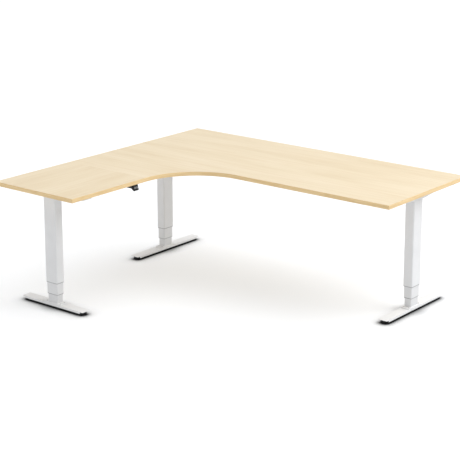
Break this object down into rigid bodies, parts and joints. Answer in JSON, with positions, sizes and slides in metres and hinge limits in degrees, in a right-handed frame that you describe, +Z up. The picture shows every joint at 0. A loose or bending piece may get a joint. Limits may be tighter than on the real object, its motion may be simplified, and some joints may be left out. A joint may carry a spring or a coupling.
{
  "type": "height adjustable standing desk",
  "caption": "L-shaped height adjustable desk: wood-look top with a curved inner corner on white telescopic columns, flat feet, black up/down handset under the edge",
  "frame": {"origin": "on the floor under the middle of the tabletop's outline", "axes": "+X runs along the long arm to its free end, +Y to its back edge, +Z up"},
  "size_m": [2, 1.76, 0.715],
  "materials": {
    "top_laminate": "matt light birch laminate with fine lengthwise grain",
    "edge_banding": "satin woodgrain edge banding",
    "white_powder_coat": "fine-textured matt white powder coat",
    "galvanised": "zinc-plated sheet",
    "fastener_steel": "zinc-plated screws and bolts",
    "white_fastener": "white-coated bolts",
    "gear_casting": "cast housing, lightly blasted",
    "motor_can": "drawn steel can",
    "bright_steel": "ground bar",
    "glide_plastic": "white low-friction plastic",
    "nut_plastic": "natural low-friction plastic",
    "black_plastic": "fine-grained black moulding",
    "foot_rubber": "black non-slip pad",
    "circuit_board": "green solder mask",
    "key_plastic": "grey soft-touch key"
  },
  "bodies": {
    "base": {"inner_tube_return": "white_powder_coat", "inner_tube_corner": "white_powder_coat", "inner_tube_end": "white_powder_coat", "inner_glides": "glide_plastic", "spindle_nuts": "nut_plastic", "base_plates": "white_powder_coat", "foot_return": "white_powder_coat", "foot_corner": "white_powder_coat", "foot_end": "white_powder_coat", "foot_sole_return": "black_plastic", "foot_sole_corner": "black_plastic", "foot_sole_end": "black_plastic", "foot_bolts": "fastener_steel", "levelling_feet": "foot_rubber"},
    "tabletop": {"main_board": "top_laminate", "return_board": "top_laminate", "main_edge_band": "edge_banding", "return_edge_band": "edge_banding", "seam_plates": "galvanised", "arm_return": "white_powder_coat", "arm_corner": "white_powder_coat", "arm_end": "white_powder_coat", "wood_screws": "fastener_steel", "beam_return": "white_powder_coat", "beam_corner": "white_powder_coat", "beam_end": "white_powder_coat", "main_rails": "white_powder_coat", "return_rails": "white_powder_coat", "junction_bracket": "white_powder_coat", "beam_bolts": "white_fastener", "head_brackets": "white_powder_coat", "gearboxes": "gear_casting", "motor_return": "motor_can", "motor_corner": "motor_can", "motor_end": "motor_can", "drive_rods": "bright_steel", "outer_tube_return": "white_powder_coat", "outer_tube_corner": "white_powder_coat", "outer_tube_end": "white_powder_coat", "outer_glides": "glide_plastic", "control_box": "black_plastic", "control_lid": "black_plastic", "control_board": "circuit_board", "handset_body": "black_plastic", "handset_board": "circuit_board"},
    "middle_stage_return": {"middle_tube_return": "white_powder_coat", "middle_glides_return": "glide_plastic", "bearing_plate_return": "gear_casting", "spindle_return": "bright_steel"},
    "middle_stage_corner": {"middle_tube_corner": "white_powder_coat", "middle_glides_corner": "glide_plastic", "bearing_plate_corner": "gear_casting", "spindle_corner": "bright_steel"},
    "middle_stage_end": {"middle_tube_end": "white_powder_coat", "middle_glides_end": "glide_plastic", "bearing_plate_end": "gear_casting", "spindle_end": "bright_steel"},
    "up_key": {"up_button": "key_plastic"},
    "down_key": {"down_button": "key_plastic"}
  },
  "joints": [
    {"name": "lift", "type": "slide", "parent": "base", "child": "tabletop", "axis": [0, 0, 1], "range_m": [-0.09, 0.545]},
    {"name": "stage_return", "type": "slide", "parent": "base", "child": "middle_stage_return", "axis": [0, 0, 1], "range_m": [-0.045, 0.2725]},
    {"name": "stage_corner", "type": "slide", "parent": "base", "child": "middle_stage_corner", "axis": [0, 0, 1], "range_m": [-0.045, 0.2725]},
    {"name": "stage_end", "type": "slide", "parent": "base", "child": "middle_stage_end", "axis": [0, 0, 1], "range_m": [-0.045, 0.2725]},
    {"name": "up_press", "type": "slide", "parent": "tabletop", "child": "up_key", "axis": [-0.9648, 0, -0.2631], "range_m": [0, 0.001], "stiffness_N_per_m": 400, "springref_m": -0.001},
    {"name": "down_press", "type": "slide", "parent": "tabletop", "child": "down_key", "axis": [-0.9648, 0, -0.2631], "range_m": [0, 0.001], "stiffness_N_per_m": 400, "springref_m": -0.001}
  ],
  "couplings": [
    {"joint": "stage_return", "follows": "lift", "ratio": 0.5},
    {"joint": "stage_corner", "follows": "lift", "ratio": 0.5},
    {"joint": "stage_end", "follows": "lift", "ratio": 0.5}
  ]
}
